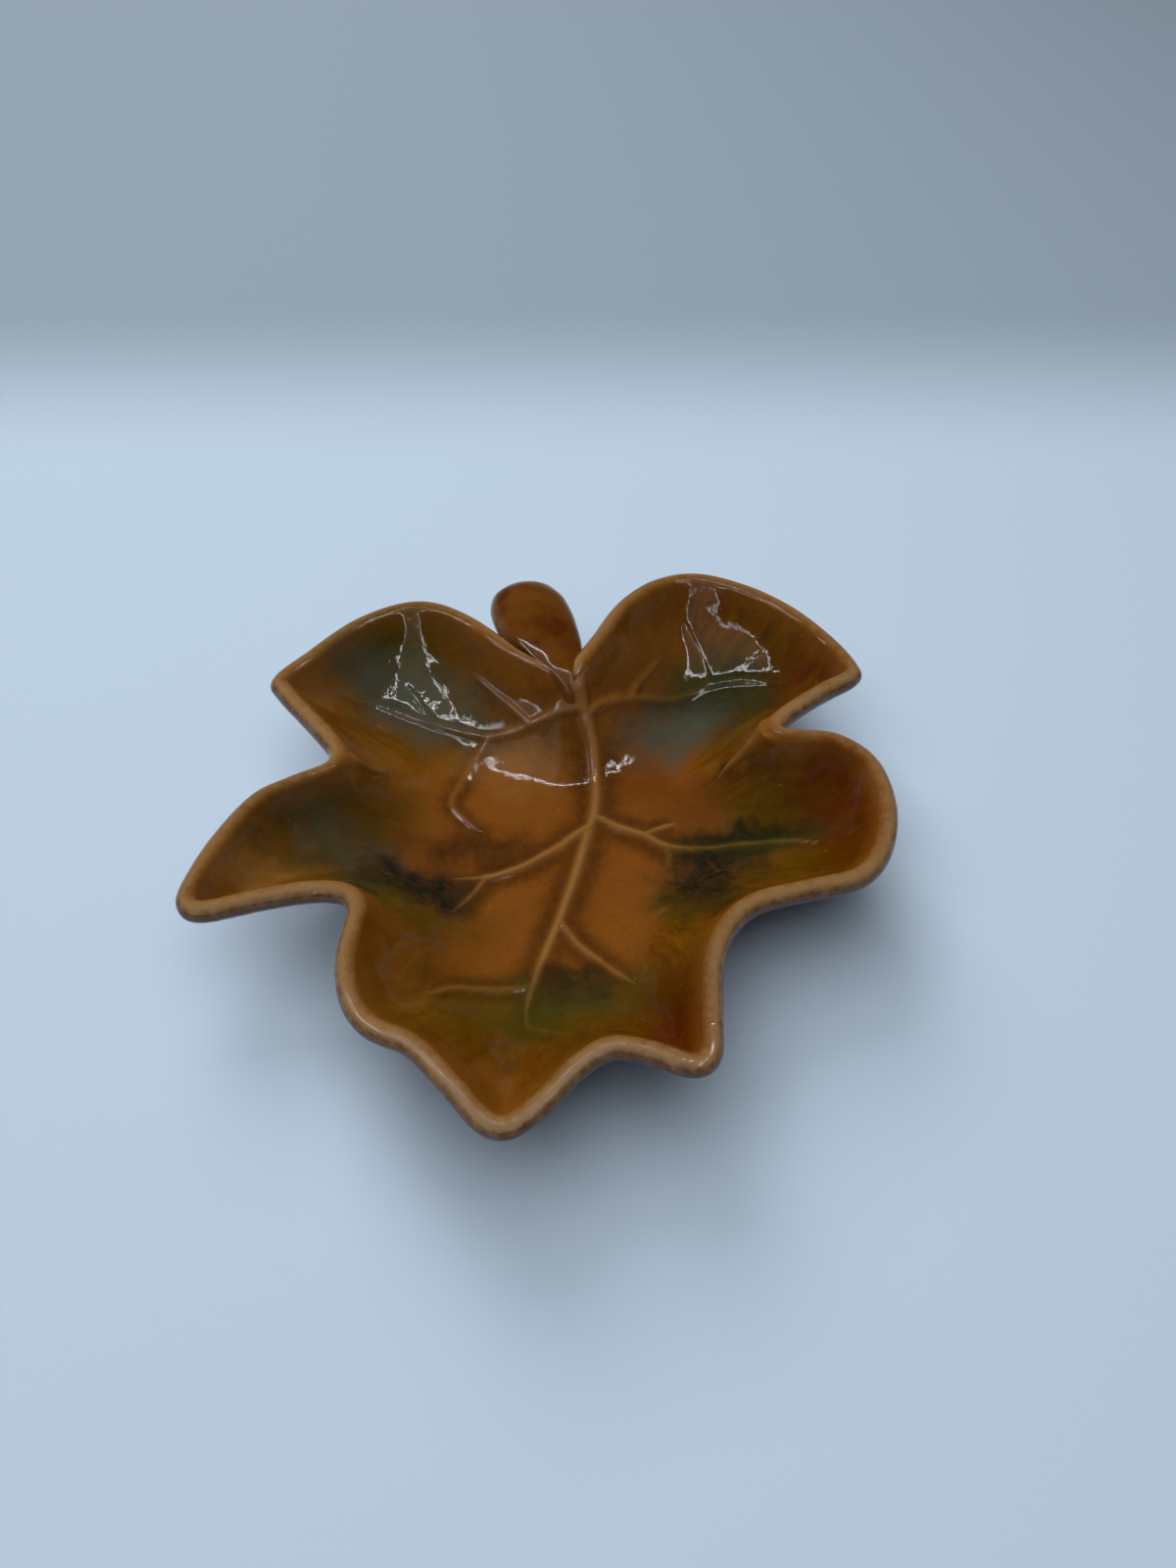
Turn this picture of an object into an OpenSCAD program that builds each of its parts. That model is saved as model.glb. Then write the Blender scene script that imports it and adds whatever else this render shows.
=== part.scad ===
// Leaf dish: a glazed leaf with raised veins and a rolled rim, a thick stem in its notch, and a foot ring.
// The origin is under the middle of the leaf, on the table. The stem points to +Y.

/* [Leaf] */
// Width of the leaf between the rim's centre lines, tip to tip
leaf_w = 150; // [100:1:200]
// Length of the leaf between the rim's centre lines, without its stem
leaf_l = 150; // [100:1:200]
// Thickness of the wall
wall = 4; // [3:0.1:5]
// Diameter of the rolled rim
rim_d = 4.8; // [4:0.1:6]
// Rise of the rim above the floor, centre line to centre line
rim_rise = 20.5; // [15:0.5:26]
// Distance from the rim at which the bowl has come down to the floor
wall_run = 33; // [28:0.5:36]
// Rise of the lip, the steeper edge that the bowl ends in, out of the rim's rise
lip_rise = 3; // [2:0.5:7]
// Distance from the rim over which the lip comes down to the bowl
lip_run = 7; // [4:0.5:9]

/* [Veins] */
// Width of the midrib at the stem, as a round bead half sunk in the wall
vein_d = 3.6; // [2.4:0.1:5]
// Depth of a vein's centre line under the glazed face, as a share of the vein's width
vein_sink_share = 0.2; // [0.1:0.05:0.35]

/* [Stem] */
// Width of the stem at its club end
stem_w = 20; // [12:0.5:24]
// Thickness of the stem at its club end
stem_t = 10; // [6:0.5:12]
// Height of the stem's centre line above the rim's at the club end
stem_lift = 0.5; // [0:0.1:2]

/* [Foot] */
// Outer diameter of the foot ring
foot_d = 49; // [36:1:50]
// Width of the foot ring's face
foot_face = 4; // [3:0.1:6]
// Height of the foot ring
foot_h = 3; // [2:0.1:5]
// Radius of the foot ring's lower corners
foot_round = 1; // [0.5:0.1:1.2]

/* [Hidden] */

// Height of the middle of the floor's wall
floor_mid = foot_h + wall / 2;
// Shape of the bowl: the higher the power, the flatter its floor, and the higher the bow, the straighter
// its side
wall_power = 2.5;
wall_bow_share = 0.4;
lip_power = 2;

// Centre line of the rim as a closed curve, counter-clockwise from the stem's notch.
// Each point is [share of the width, share of the length, share of the rim's rise].
rim_shares = [
    // notch of the stem, and the back left lobe
    [0.026, 0.275, 0.90], [-0.018, 0.294, 0.93], [-0.078, 0.331, 0.95], [-0.142, 0.384, 1.00],
    [-0.208, 0.422, 1.00], [-0.268, 0.421, 0.98], [-0.335, 0.376, 1.00], [-0.400, 0.300, 1.00],
    [-0.437, 0.252, 1.00], [-0.428, 0.226, 1.00], [-0.366, 0.152, 1.00], [-0.330, 0.103, 1.03],
    // middle left lobe
    [-0.322, 0.074, 1.05], [-0.336, 0.052, 1.05], [-0.384, 0.029, 1.03], [-0.432, -0.004, 1.02],
    [-0.474, -0.078, 1.00], [-0.498, -0.144, 0.96], [-0.499, -0.177, 0.95], [-0.474, -0.188, 0.95],
    [-0.395, -0.172, 1.00], [-0.325, -0.162, 1.03], [-0.278, -0.169, 1.05],
    // front lobe with its three points
    [-0.258, -0.194, 1.05], [-0.260, -0.228, 1.04], [-0.264, -0.274, 1.02], [-0.252, -0.329, 0.98],
    [-0.222, -0.367, 0.96], [-0.165, -0.397, 1.00], [-0.114, -0.448, 1.00], [-0.072, -0.493, 0.96],
    [-0.040, -0.501, 0.95], [-0.002, -0.475, 0.98], [0.044, -0.427, 1.02], [0.086, -0.403, 1.05],
    [0.135, -0.407, 1.02], [0.187, -0.422, 0.98], [0.211, -0.408, 0.97], [0.216, -0.359, 1.00],
    [0.222, -0.282, 1.03],
    // middle right lobe
    [0.246, -0.224, 1.06], [0.290, -0.184, 1.06], [0.368, -0.158, 1.02], [0.441, -0.133, 0.98],
    [0.481, -0.082, 0.97], [0.499, -0.005, 0.98], [0.486, 0.072, 1.00], [0.442, 0.115, 1.02],
    [0.388, 0.122, 1.04], [0.354, 0.127, 1.05],
    // back right lobe
    [0.348, 0.146, 1.05], [0.382, 0.184, 1.04], [0.440, 0.232, 1.00], [0.482, 0.263, 0.97],
    [0.486, 0.283, 0.97], [0.457, 0.341, 0.98], [0.400, 0.412, 1.00], [0.330, 0.467, 1.00],
    [0.248, 0.498, 1.00], [0.178, 0.479, 1.02], [0.120, 0.423, 1.03], [0.078, 0.349, 1.00],
    [0.048, 0.300, 0.96]
];

// Where the mesh of the leaf starts, as shares of the width and length, and the radius of its first ring
pole = [0.013 * leaf_w, 0.036 * leaf_l];
pole_r = leaf_w / 30;
// Middle of the foot, under the widest flat part of the floor
foot_middle = [0.006 * leaf_w, -0.027 * leaf_l];
foot_sides = 96;
corner_sides = 16;
// How far the flat base reaches up beyond the middle of the floor's wall, into the rising side of the bowl
base_rise = wall / 4;

// How finely the curves are cut
curve_steps = 2;
ring_count = 14;
ring_power = 1.4;
bead_steps = 4;

// Veins as [width at the start and at the end as shares of vein_d, then plan points as shares of the leaf]
vein_shares = [
    // midrib, from the stem's notch to the front point
    [1, 0.6, [0.036, 0.269], [0.046, 0.246], [0.057, 0.221], [0.064, 0.195], [0.068, 0.151], [0.070, 0.111],
        [0.066, 0.068], [0.056, 0.031], [0.037, -0.048], [0.014, -0.129], [-0.005, -0.187],
        [-0.021, -0.244], [-0.028, -0.293], [-0.024, -0.326]],
    // side veins of the front lobe
    [0.6, 0.4, [-0.024, -0.324], [-0.002, -0.335], [0.030, -0.349]],
    [0.6, 0.4, [-0.021, -0.244], [-0.060, -0.252], [-0.100, -0.256], [-0.138, -0.261], [-0.174, -0.283]],
    [0.65, 0.4, [0.014, -0.129], [0.040, -0.167], [0.073, -0.200], [0.105, -0.234], [0.128, -0.257]],
    // vein of the middle left lobe and its branch
    [0.8, 0.5, [0.062, 0.049], [0.043, 0.037], [0.016, 0.013], [-0.013, -0.008], [-0.041, -0.027],
        [-0.069, -0.039], [-0.098, -0.049], [-0.147, -0.053]],
    [0.6, 0.4, [-0.098, -0.049], [-0.113, -0.074], [-0.129, -0.097], [-0.149, -0.123]],
    // vein of the middle right lobe and its branches
    [0.8, 0.45, [0.064, 0.066], [0.078, 0.064], [0.102, 0.050], [0.146, 0.032], [0.178, 0.011],
        [0.214, 0.003], [0.250, 0.000], [0.294, 0.003], [0.336, 0.001], [0.381, -0.005], [0.412, -0.021]],
    [0.6, 0.4, [0.146, 0.032], [0.166, 0.044], [0.198, 0.056]],
    [0.6, 0.4, [0.178, 0.011], [0.184, -0.008], [0.184, -0.031]],
    // vein of the back left lobe and its branches
    [0.8, 0.45, [0.044, 0.246], [0.020, 0.244], [-0.005, 0.237], [-0.030, 0.230], [-0.058, 0.225],
        [-0.100, 0.222], [-0.145, 0.236], [-0.194, 0.254], [-0.240, 0.267], [-0.290, 0.279],
        [-0.340, 0.275]],
    [0.6, 0.4, [-0.100, 0.222], [-0.126, 0.188], [-0.140, 0.156], [-0.156, 0.125], [-0.165, 0.092],
        [-0.140, 0.063], [-0.115, 0.043]],
    [0.6, 0.4, [-0.036, 0.230], [-0.063, 0.257], [-0.085, 0.277], [-0.108, 0.300], [-0.130, 0.324]],
    [0.5, 0.4, [-0.203, 0.257], [-0.233, 0.300], [-0.258, 0.324]],
    // vein of the back right lobe and its branches
    [0.8, 0.45, [0.052, 0.242], [0.076, 0.261], [0.120, 0.284], [0.156, 0.298], [0.197, 0.308],
        [0.234, 0.326], [0.271, 0.345], [0.312, 0.347], [0.349, 0.337], [0.395, 0.314]],
    [0.6, 0.4, [0.123, 0.285], [0.134, 0.314], [0.157, 0.349], [0.180, 0.386]],
    [0.6, 0.4, [0.268, 0.345], [0.256, 0.394], [0.236, 0.427], [0.220, 0.452]],
    // folds that run inward from the notches of the right and the left side
    [1.1, 0.4, [0.344, 0.137], [0.322, 0.133], [0.300, 0.128], [0.276, 0.120]],
    [0.7, 0.4, [-0.312, 0.082], [-0.290, 0.092], [-0.266, 0.110]]
];

// Sections of the stem along its centre line: [share of leaf_w, share of leaf_l, share of stem_w,
// share of stem_t, share of the way from the root's height to the club end's]
stem_shares = [
    [0.024, 0.268, 0.16, 0.20, 0.00], [0.020, 0.284, 0.42, 0.46, 0.12], [0.009, 0.308, 0.66, 0.64, 0.40],
    [-0.006, 0.338, 0.84, 0.82, 0.68], [-0.025, 0.375, 0.98, 0.95, 0.90], [-0.041, 0.414, 1.00, 1.00, 1.00],
    [-0.048, 0.441, 0.94, 0.95, 1.00], [-0.051, 0.463, 0.78, 0.82, 0.98], [-0.053, 0.477, 0.53, 0.58, 0.96],
    [-0.054, 0.483, 0.22, 0.24, 0.95]
];
stem_sides = 20;
// Height of the stem's centre line at its root, in the wall under the rim, and at its club end
stem_root_z = floor_mid + 0.7 * rim_rise;
stem_end_z = floor_mid + rim_rise + stem_lift;

function plan(shares) = [shares[0] * leaf_w, shares[1] * leaf_l];
function unit(v) = v / norm(v);

// Point on the smooth curve between b and c, where a and d are their neighbours
function spline(a, b, c, d, t) =
    b + ((c - a) * t + (2 * a - 5 * b + 4 * c - d) * t * t + (3 * b - a - 3 * c + d) * t * t * t) / 2;

// The rim as [share of the width, share of the length, share of the rise], cut finely
rim_n = len(rim_shares);
rim_line = [
    for (i = [0 : rim_n - 1])
        for (k = [0 : curve_steps - 1])
            spline(rim_shares[(i + rim_n - 1) % rim_n], rim_shares[i], rim_shares[(i + 1) % rim_n],
                rim_shares[(i + 2) % rim_n], k / curve_steps)
];
columns = len(rim_line);

// The rim as straight stretches: [start, direction, length], and each one's share of the rise
stretches = [
    for (i = [0 : rim_n - 1])
        let (a = plan(rim_shares[i]), b = plan(rim_shares[(i + 1) % rim_n]))
            [a, unit(b - a), norm(b - a)]
];
stretch_rise = [for (i = [0 : rim_n - 1]) (rim_shares[i][2] + rim_shares[(i + 1) % rim_n][2]) / 2];
ones = [for (i = [0 : rim_n - 1]) 1];

// Pull of a straight stretch up to s along it, at a distance whose square is q:
// the integral of one over the fifth power of the distance to its points
function pull(s, q) = s * (3 * q + 2 * s * s) / (3 * q * q * pow(q + s * s, 1.5));

// Rise at a distance from the rim, where the rim itself stands 1 high times rim_rise: the bowl's side,
// which falls in a long curve, and the lip, which falls in a short one
function profile(reach) =
    let (
        in_bowl = min(1, reach / wall_run),
        in_lip = min(1, reach / lip_run)
    )
    (rim_rise - lip_rise) * pow(1 - in_bowl, wall_power) * (1 + wall_power * wall_bow_share * in_bowl)
        + lip_rise * pow(1 - in_lip, lip_power);

// Rise of the leaf's middle surface above the floor's at plan point p.
// The reach is a smooth distance to the rim: along one straight rim it is the plain distance.
blur = rim_d / 50;
function rise(p) =
    let (
        pulls = [
            for (e = stretches)
                let (v = p - e[0], s = v * e[1], q = pow(cross(e[1], v), 2) + blur * blur)
                    pull(e[2] - s, q) - pull(-s, q)
        ],
        total = pulls * ones
    )
    profile(pow(0.75 * total, -0.25)) * (pulls * stretch_rise) / total;

// Share of the way from the pole to the rim, ring by ring, closer together near the rim
function way(k) = 1 - pow(1 - k / ring_count, ring_power);

// Middle surface of the leaf: rings of points from the pole out to the rim's centre line
middle = [
    for (k = [0 : ring_count])
        [
            for (r = rim_line)
                let (
                    edge = plan(r),
                    start = pole + pole_r * unit(edge - pole),
                    p = start + (edge - start) * way(k),
                    z = k == ring_count ? rim_rise * r[2] : rise(p)
                )
                [p[0], p[1], floor_mid + z]
        ]
];

// Direction square to the middle surface at plan point p, whose rise is z
probe = wall / 20;
function surface_normal(p, z) =
    unit([z - rise(p + [probe, 0]), z - rise(p + [0, probe]), probe]);

// The same on the rim's centre line, from the direction of the rim and the slope of the wall there
rim_slope = (1 - wall_bow_share) * wall_power * (rim_rise - lip_rise) / wall_run
    + lip_power * lip_rise / lip_run;
function rim_along(i) =
    let (before = (i + columns - 1) % columns, after = (i + 1) % columns)
    unit(middle[ring_count][after] - middle[ring_count][before]);
function rim_normal(i) =
    let (t = rim_along(i))
    unit(cross([t[1], -t[0], rim_slope], t));

normals = [
    for (k = [0 : ring_count])
        [
            for (i = [0 : columns - 1])
                let (p = middle[k][i])
                k == ring_count ? rim_normal(i) : surface_normal([p[0], p[1]], p[2] - floor_mid)
        ]
];
// Half the thickness of the wall, which swells to the rolled rim
function half_wall(k) = (wall + (rim_d - wall) * max(0, (way(k) - 0.7) / 0.3)) / 2;

glazed_face = [
    for (k = [0 : ring_count - 1])
        [for (i = [0 : columns - 1]) middle[k][i] + normals[k][i] * half_wall(k)]
];
under_face = [
    for (k = [ring_count - 1 : -1 : 0])
        [for (i = [0 : columns - 1]) middle[k][i] - normals[k][i] * half_wall(k)]
];
// Half round of the rim, from its glazed side over the edge to its underside
rim_round = [
    for (b = [0 : bead_steps])
        [
            for (i = [0 : columns - 1])
                let (
                    up = normals[ring_count][i],
                    out = cross(rim_along(i), up),
                    turn = 180 * b / bead_steps
                )
                middle[ring_count][i] + (up * cos(turn) + out * sin(turn)) * rim_d / 2
        ]
];
shell_rows = concat(glazed_face, rim_round, under_face);

// The leaf's middle over the origin
rim_x = [for (row = rim_round) for (p = row) p[0]];
rim_y = [for (row = rim_round) for (p = row) p[1]];
centre = [(min(rim_x) + max(rim_x)) / 2, (min(rim_y) + max(rim_y)) / 2, 0];

// Closed solid from rows of points that run counter-clockwise round +Z, with a cap point at each end.
// Each four points are joined along their shorter diagonal, which follows slanting walls more closely.
module skin(rows, first_cap, last_cap) {
    n = len(rows[0]);
    flat = [for (row = rows) for (p = row) p];
    last_row = (len(rows) - 1) * n;
    sides = [
        for (r = [0 : len(rows) - 2])
            for (i = [0 : n - 1])
                let (a = r * n + i, b = r * n + (i + 1) % n)
                    each norm(flat[b + n] - flat[a]) < norm(flat[a + n] - flat[b])
                        ? [[a, b, b + n], [a, b + n, a + n]]
                        : [[a, b, a + n], [b, b + n, a + n]]
    ];
    first_fan = [for (i = [0 : n - 1]) [len(flat), (i + 1) % n, i]];
    last_fan = [for (i = [0 : n - 1]) [len(flat) + 1, last_row + i, last_row + (i + 1) % n]];
    polyhedron(points = concat(flat, [first_cap, last_cap]), faces = concat(sides, first_fan, last_fan));
}

module shell() {
    skin(shell_rows, [pole[0], pole[1], floor_mid + wall / 2], [pole[0], pole[1], floor_mid - wall / 2]);
}

// Centre of a vein's bead of diameter d at a plan point: a little under the glazed face
function vein_centre(shares, d) =
    let (p = plan(shares), z = rise(p))
    [p[0], p[1], floor_mid + z] + surface_normal(p, z) * (wall / 2 - vein_sink_share * d);

module vein(list) {
    last = len(list) - 3;
    widths = [for (j = [0 : last]) vein_d * (list[0] + (list[1] - list[0]) * j / last)];
    points = [for (j = [0 : last]) vein_centre(list[j + 2], widths[j])];
    for (j = [0 : last - 1])
        hull() {
            translate(points[j]) sphere(d = widths[j], $fn = 6);
            translate(points[j + 1]) sphere(d = widths[j + 1], $fn = 6);
        }
}

// Flat base under the bowl, on which the foot ring is luted
module base() {
    translate([foot_middle[0], foot_middle[1], foot_h])
        cylinder(d = foot_d, h = wall / 2 + base_rise, $fn = foot_sides);
}

module leaf_body() {
    shell();
    base();
    for (list = vein_shares) vein(list);
}

module leaf_shell() {
    color([0.56, 0.31, 0.10])
        translate(-centre) leaf_body();
}

// Stem: ovals along its centre line, each one square to it in plan, cut to sit on the leaf
function stem_centre(s) =
    [s[0] * leaf_w, s[1] * leaf_l, stem_root_z + (stem_end_z - stem_root_z) * s[4]];
stem_n = len(stem_shares);
stem_rows = [
    for (j = [0 : stem_n - 1])
        let (
            s = stem_shares[j],
            before = stem_centre(stem_shares[max(j - 1, 0)]),
            ahead = stem_centre(stem_shares[min(j + 1, stem_n - 1)]) - before,
            side = unit([ahead[1], -ahead[0], 0]),
            top = cross(side, unit(ahead))
        )
        [
            for (i = [0 : stem_sides - 1])
                let (turn = 360 * i / stem_sides)
                    stem_centre(s) + side * cos(turn) * stem_w * s[2] / 2
                        - top * sin(turn) * stem_t * s[3] / 2
        ]
];

module stem_body() {
    skin(stem_rows, stem_centre(stem_shares[0]), stem_centre(stem_shares[stem_n - 1]));
}

module stem() {
    color([0.48, 0.24, 0.06])
        translate(-centre)
            difference() {
                stem_body();
                leaf_body();
            }
}

// Foot ring: a plain band with rounded lower corners, luted under the flat base
module foot_ring() {
    color([0.80, 0.70, 0.58])
        translate([foot_middle[0], foot_middle[1], 0] - centre)
            rotate_extrude($fn = foot_sides)
                translate([foot_d / 2 - foot_face, 0])
                    union() {
                        translate([0, foot_round]) square([foot_face, foot_h - foot_round]);
                        translate([foot_round, 0]) square([foot_face - 2 * foot_round, foot_h]);
                        translate([foot_round, foot_round])
                            circle(r = foot_round, $fn = corner_sides);
                        translate([foot_face - foot_round, foot_round])
                            circle(r = foot_round, $fn = corner_sides);
                    }
}

leaf_shell();
stem();
foot_ring();
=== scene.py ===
# %% [markdown]
# # A glazed leaf dish
# The object is a shallow earthenware dish pressed in the form of a leaf, dipped in a glossy amber glaze
# and dabbed with oxides that ran green and blue-black in the kiln.
# The CAD model gives its size and its three pieces of clay. Here the same forms are worked out again on
# finer grids, as whole numpy arrays, because a glaze shows every flat facet in its highlights.

import bpy
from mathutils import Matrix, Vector
import numpy as np


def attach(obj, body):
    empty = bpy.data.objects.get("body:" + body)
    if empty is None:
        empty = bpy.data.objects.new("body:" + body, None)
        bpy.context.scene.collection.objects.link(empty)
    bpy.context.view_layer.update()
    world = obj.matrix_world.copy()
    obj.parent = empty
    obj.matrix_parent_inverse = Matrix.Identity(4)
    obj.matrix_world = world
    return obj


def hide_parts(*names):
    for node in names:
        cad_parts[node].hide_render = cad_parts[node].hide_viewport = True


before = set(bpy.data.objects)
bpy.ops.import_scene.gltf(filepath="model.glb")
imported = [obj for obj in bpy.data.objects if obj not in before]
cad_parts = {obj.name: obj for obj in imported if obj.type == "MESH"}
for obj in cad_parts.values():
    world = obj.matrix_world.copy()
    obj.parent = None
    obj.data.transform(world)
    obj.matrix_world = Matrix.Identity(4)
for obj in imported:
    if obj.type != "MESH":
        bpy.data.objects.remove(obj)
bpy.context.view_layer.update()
MM = 0.001

# %% [markdown]
# ## Sizes
# A mould maker would note the leaf's width and length, the wall, the rolled rim and how far it rises.
# The shapes below are worked out in millimetres and become metres only when a mesh is made.
# Points on the leaf are shares of its width and length, so the sizes here are the only lengths. The bowl's
# side rises over WALL_RUN, with a power that keeps the floor flat and a bow that fills out its curve, and
# the last LIP_RUN before the rim adds a steeper lip. The finer grid would bulge a quarter of a millimetre
# past the CAD's coarser one, so the plan is drawn in by 0.3%.

# %% Sizes in millimetres
LEAF_W = 150
LEAF_L = 150
WALL = 4
RIM_D = 4.8
RIM_RISE = 20.5
WALL_RUN = 33
WALL_POWER = 2.5
WALL_BOW_SHARE = 0.4
LIP_RISE = 3
LIP_RUN = 7
VEIN_D = 3.6
FOOT_D = 49
FOOT_FACE = 4
FOOT_H = 3
FLOOR_MID = FOOT_H + WALL / 2
FIT_SHARE = 0.9973
LEAF = np.array([LEAF_W, LEAF_L]) * FIT_SHARE
print("leaf across the rim's line:", LEAF.round(1), "mm; middle of the floor's clay at", FLOOR_MID, "mm")

# %% [markdown]
# ## The rim's line
# The outline is one closed line along the middle of the rolled rim, from the stem's notch round by the
# left. A spline through the listed points keeps it as soft as the real one, which was drawn in clay.
# The third number of a point says how high the rim stands there: the tips droop and the notches stand up.

# %% Rim points
RIM_SHARES = np.array([
    (0.026, 0.275, 0.90), (-0.018, 0.294, 0.93), (-0.078, 0.331, 0.95), (-0.142, 0.384, 1.00),
    (-0.208, 0.422, 1.00), (-0.268, 0.421, 0.98), (-0.335, 0.376, 1.00), (-0.400, 0.300, 1.00),
    (-0.437, 0.252, 1.00), (-0.428, 0.226, 1.00), (-0.366, 0.152, 1.00), (-0.330, 0.103, 1.03),
    (-0.322, 0.074, 1.05), (-0.336, 0.052, 1.05), (-0.384, 0.029, 1.03), (-0.432, -0.004, 1.02),
    (-0.474, -0.078, 1.00), (-0.498, -0.144, 0.96), (-0.499, -0.177, 0.95), (-0.474, -0.188, 0.95),
    (-0.395, -0.172, 1.00), (-0.325, -0.162, 1.03), (-0.278, -0.169, 1.05), (-0.258, -0.194, 1.05),
    (-0.260, -0.228, 1.04), (-0.264, -0.274, 1.02), (-0.252, -0.329, 0.98), (-0.222, -0.367, 0.96),
    (-0.165, -0.397, 1.00), (-0.114, -0.448, 1.00), (-0.072, -0.493, 0.96), (-0.040, -0.501, 0.95),
    (-0.002, -0.475, 0.98), (0.044, -0.427, 1.02), (0.086, -0.403, 1.05), (0.135, -0.407, 1.02),
    (0.187, -0.422, 0.98), (0.211, -0.408, 0.97), (0.216, -0.359, 1.00), (0.222, -0.282, 1.03),
    (0.246, -0.224, 1.06), (0.290, -0.184, 1.06), (0.368, -0.158, 1.02), (0.441, -0.133, 0.98),
    (0.481, -0.082, 0.97), (0.499, -0.005, 0.98), (0.486, 0.072, 1.00), (0.442, 0.115, 1.02),
    (0.388, 0.122, 1.04), (0.354, 0.127, 1.05), (0.348, 0.146, 1.05), (0.382, 0.184, 1.04),
    (0.440, 0.232, 1.00), (0.482, 0.263, 0.97), (0.486, 0.283, 0.97), (0.457, 0.341, 0.98),
    (0.400, 0.412, 1.00), (0.330, 0.467, 1.00), (0.248, 0.498, 1.00), (0.178, 0.479, 1.02),
    (0.120, 0.423, 1.03), (0.078, 0.349, 1.00), (0.048, 0.300, 0.96),
])
print(len(RIM_SHARES), "rim points, heights", RIM_SHARES[:, 2].min(), "to", RIM_SHARES[:, 2].max())


# %% Splines
def spline(points, steps, closed=False):
    """Smooth line through points, with `steps` stretches between neighbours. On each stretch it is a cubic
    whose slope at a point is half the way from the point before to the point after."""
    if closed:
        before, after, last = np.roll(points, 1, 0), np.roll(points, -1, 0), np.roll(points, -2, 0)
        start = points
    else:
        ends = np.vstack([2 * points[0] - points[1], points, 2 * points[-1] - points[-2]])
        before, start, after, last = ends[:-3], ends[1:-2], ends[2:-1], ends[3:]
    t = (np.arange(steps) / steps)[None, :, None]
    a, b, c, d = (v[:, None, :] for v in (before, start, after, last))
    line = b + ((c - a) * t + (2 * a - 5 * b + 4 * c - d) * t ** 2 + (3 * b - a - 3 * c + d) * t ** 3) / 2
    line = line.reshape(-1, points.shape[1])
    return line if closed else np.vstack([line, points[-1:]])


COLUMN_STEPS = 12
rim_line = spline(RIM_SHARES, COLUMN_STEPS, closed=True)
rim_plan, rim_lift = rim_line[:, :2] * LEAF, rim_line[:, 2]
columns = len(rim_line)
rim_round = np.linalg.norm(rim_plan - np.roll(rim_plan, -1, 0), axis=1).sum()
print(f"rim line: {columns} points, {rim_round:.0f} mm round")

# %% [markdown]
# ## How the leaf rises to its rim
# The dish is a broad bowl that ends in a short steep lip along the whole lobed line.
# A plain distance to the rim would leave a sharp crease along the middle of each lobe. Instead each
# short stretch of the rim pulls with the fifth power of nearness, and the sum is turned back into a
# distance. Close to the rim it is the true distance, and far from it all the stretches blend.
# The bowl could also be sculpted, but a formula gives every lobe its own hollow and can be used by the CAD.


# %% Rise
def stretch_pull(s, q):
    """Pull of a straight stretch from its foot point to s along it, at a distance whose square is q:
    s (3 q + 2 s s) / (3 q q (q + s s)^1.5), which is the integral of one over distance^5."""
    return s * (3 * q + 2 * s * s) / (3 * q * q * (q + s * s) ** 1.5)


STRETCH_STEPS = 4
stretch_line = spline(RIM_SHARES, STRETCH_STEPS, closed=True)
stretch_start = stretch_line[:, :2] * LEAF
stretch_way = np.roll(stretch_start, -1, 0) - stretch_start
stretch_length = np.linalg.norm(stretch_way, axis=1)
stretch_way = stretch_way / stretch_length[:, None]
stretch_lift = (stretch_line[:, 2] + np.roll(stretch_line[:, 2], -1)) / 2
BLUR = RIM_D / 50
BATCH = 4000


def profile(reach):
    """Height at a distance from the rim. With u = reach / wall run and v = reach / lip run, it is the bowl's
    side, (rim rise - lip rise) (1 - u)^power (1 + power bow u), and the lip, lip rise (1 - v)^2."""
    u = np.clip(reach / WALL_RUN, 0, 1)
    v = np.clip(reach / LIP_RUN, 0, 1)
    bowl = (RIM_RISE - LIP_RISE) * (1 - u) ** WALL_POWER * (1 + WALL_POWER * WALL_BOW_SHARE * u)
    return bowl + LIP_RISE * (1 - v) ** 2


def rise_and_reach(plan):
    """(rise, reach) of the leaf's middle surface at plan points. An endless straight rim at a distance d
    pulls with 4 / (3 d^4), so reach = (3/4 of all the pulls)^(-1/4). rise = lift * profile(reach), where
    lift is the height of the rim there, weighted by the pulls. BATCH points at a time fit in the memory."""
    rises, reaches = [], []
    for part in np.array_split(plan, max(1, len(plan) // BATCH)):
        v = part[:, None, :] - stretch_start[None]
        s = (v * stretch_way).sum(2)
        q = (stretch_way[:, 0] * v[..., 1] - stretch_way[:, 1] * v[..., 0]) ** 2 + BLUR ** 2
        pulls = stretch_pull(stretch_length - s, q) - stretch_pull(-s, q)
        total = pulls.sum(1)
        reach = (0.75 * total) ** -0.25
        lift = (pulls * stretch_lift).sum(1) / total
        rises.append(lift * profile(reach))
        reaches.append(reach)
    return np.concatenate(rises), np.concatenate(reaches)


print(f"{len(stretch_start)} stretches of rim pull; at the rim the profile is {profile(0):.1f} mm high")

# %% [markdown]
# ## Veins
# The veins are part of the pressed clay: a midrib from the stem to the front point, one strong vein into
# each lobe and finer branches. Tubes laid on the leaf would show a hard crease along each side, so a vein
# is a low swelling of the surface, worked out from the distance to its line. Where veins meet, the wide
# skirts of the swellings add up to the small webs of clay that a modeller would smooth there.

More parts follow.
